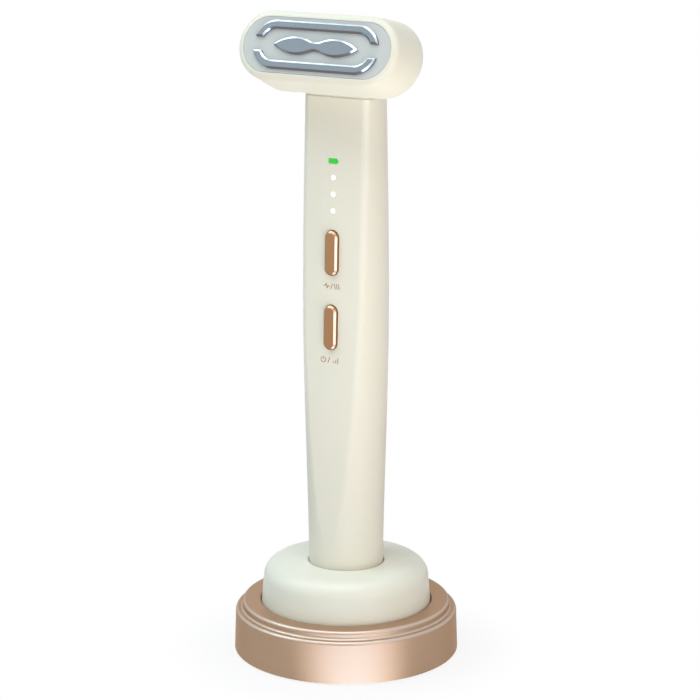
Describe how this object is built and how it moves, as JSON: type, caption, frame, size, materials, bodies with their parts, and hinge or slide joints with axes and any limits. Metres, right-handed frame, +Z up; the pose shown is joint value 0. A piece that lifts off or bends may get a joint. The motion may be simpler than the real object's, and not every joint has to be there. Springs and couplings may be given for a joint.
{
  "type": "led facial wand",
  "caption": "Cordless facial wand with a wide tilted light head, raised electrodes, press buttons and light windows, standing in a round weighted charging stand.",
  "frame": {"origin": "centre of the stand's round base where its foot ring meets the table", "axes": "+Z up along the wand, -Y the front that the light head and the buttons face, +X to the right"},
  "size_m": [0.072, 0.072, 0.2059],
  "materials": {
    "cream_shell": "satin moulded plastic, warm cream",
    "cream_stand": "satin moulded plastic, warm cream",
    "cream_rubber": "cream silicone",
    "rose_metal": "turned and anodised rose gold, fine satin",
    "rose_button": "anodised rose gold, satin",
    "chrome_trim": "polished plating",
    "panel_plastic": "smooth tinted plastic, pale blue-grey",
    "plated_steel": "plain plated",
    "gold_plate": "gold plated",
    "green_board": "solder mask",
    "dark_plastic": "moulded",
    "grey_rubber": "soft",
    "battery_wrap": "shrink wrap over the cell",
    "green_window": "lit green light pipe",
    "white_window": "lit white light pipe",
    "red_light": "light chips"
  },
  "bodies": {
    "stand": {"stand_base_ring": "rose_metal", "stand_cup": "cream_stand", "stand_bottom_cover": "cream_stand", "stand_foot_ring": "grey_rubber", "stand_ballast": "plated_steel", "stand_screws": "plated_steel", "stand_circuit_board": "green_board", "stand_board_screws": "plated_steel", "charging_inlet_shell": "plated_steel", "charging_inlet_tongue": "dark_plastic", "pin_spring_left": "plated_steel", "pin_spring_right": "plated_steel", "charging_pin_barrels": "gold_plate"},
    "wand": {"handle_barrel": "cream_shell", "handle_end_cap": "cream_shell", "end_cap_seal": "grey_rubber", "end_cap_screws": "plated_steel", "charging_contacts": "gold_plate", "inner_frame": "dark_plastic", "battery": "battery_wrap", "battery_pad": "grey_rubber", "main_circuit_board": "green_board", "main_board_screws": "plated_steel", "control_chips": "dark_plastic", "button_gasket": "grey_rubber", "treatment_switch": "dark_plastic", "power_switch": "dark_plastic", "battery_window": "green_window", "level_windows": "white_window", "light_shield": "dark_plastic", "indicator_leds": "white_window", "neck_gasket": "cream_rubber", "head_front_shell": "cream_shell", "head_rear_shell": "cream_shell", "lens_panel": "panel_plastic", "upper_electrode": "chrome_trim", "lower_electrode": "chrome_trim", "centre_electrode": "chrome_trim", "led_board": "green_board", "led_chips": "red_light", "vibration_motor": "plated_steel", "motor_sleeve": "grey_rubber"},
    "treatment_button": {"treatment_button": "rose_button", "treatment_switch_stem": "dark_plastic"},
    "power_button": {"power_button": "rose_button", "power_switch_stem": "dark_plastic"},
    "charging_pin_left": {"charging_pin_left": "gold_plate"},
    "charging_pin_right": {"charging_pin_right": "gold_plate"},
    "motor_rotor": {"motor_shaft": "plated_steel", "motor_weight": "plated_steel"}
  },
  "joints": [
    {"name": "wand_lift", "type": "slide", "parent": "stand", "child": "wand", "axis": [0, 0, 1], "range_m": [0, 0.06]},
    {"name": "treatment_press", "type": "slide", "parent": "wand", "child": "treatment_button", "axis": [0, 0.9994, -0.034], "range_m": [0, 0.0004], "stiffness_N_per_m": 900, "springref_m": -0.0015},
    {"name": "power_press", "type": "slide", "parent": "wand", "child": "power_button", "axis": [0, 0.9994, -0.034], "range_m": [0, 0.0004], "stiffness_N_per_m": 900, "springref_m": -0.0015},
    {"name": "left_pin_press", "type": "slide", "parent": "stand", "child": "charging_pin_left", "axis": [0, 0, -1], "range_m": [0, 0.0008], "stiffness_N_per_m": 250, "springref_m": -0.0008, "deforming": ["pin_spring_left"]},
    {"name": "right_pin_press", "type": "slide", "parent": "stand", "child": "charging_pin_right", "axis": [0, 0, -1], "range_m": [0, 0.0008], "stiffness_N_per_m": 250, "springref_m": -0.0008, "deforming": ["pin_spring_right"]},
    {"name": "motor_spin", "type": "hinge", "parent": "wand", "child": "motor_rotor", "pos_m": [0, -0.00961, 0.19311], "axis": [1, 0, 0], "continuous": true}
  ]
}
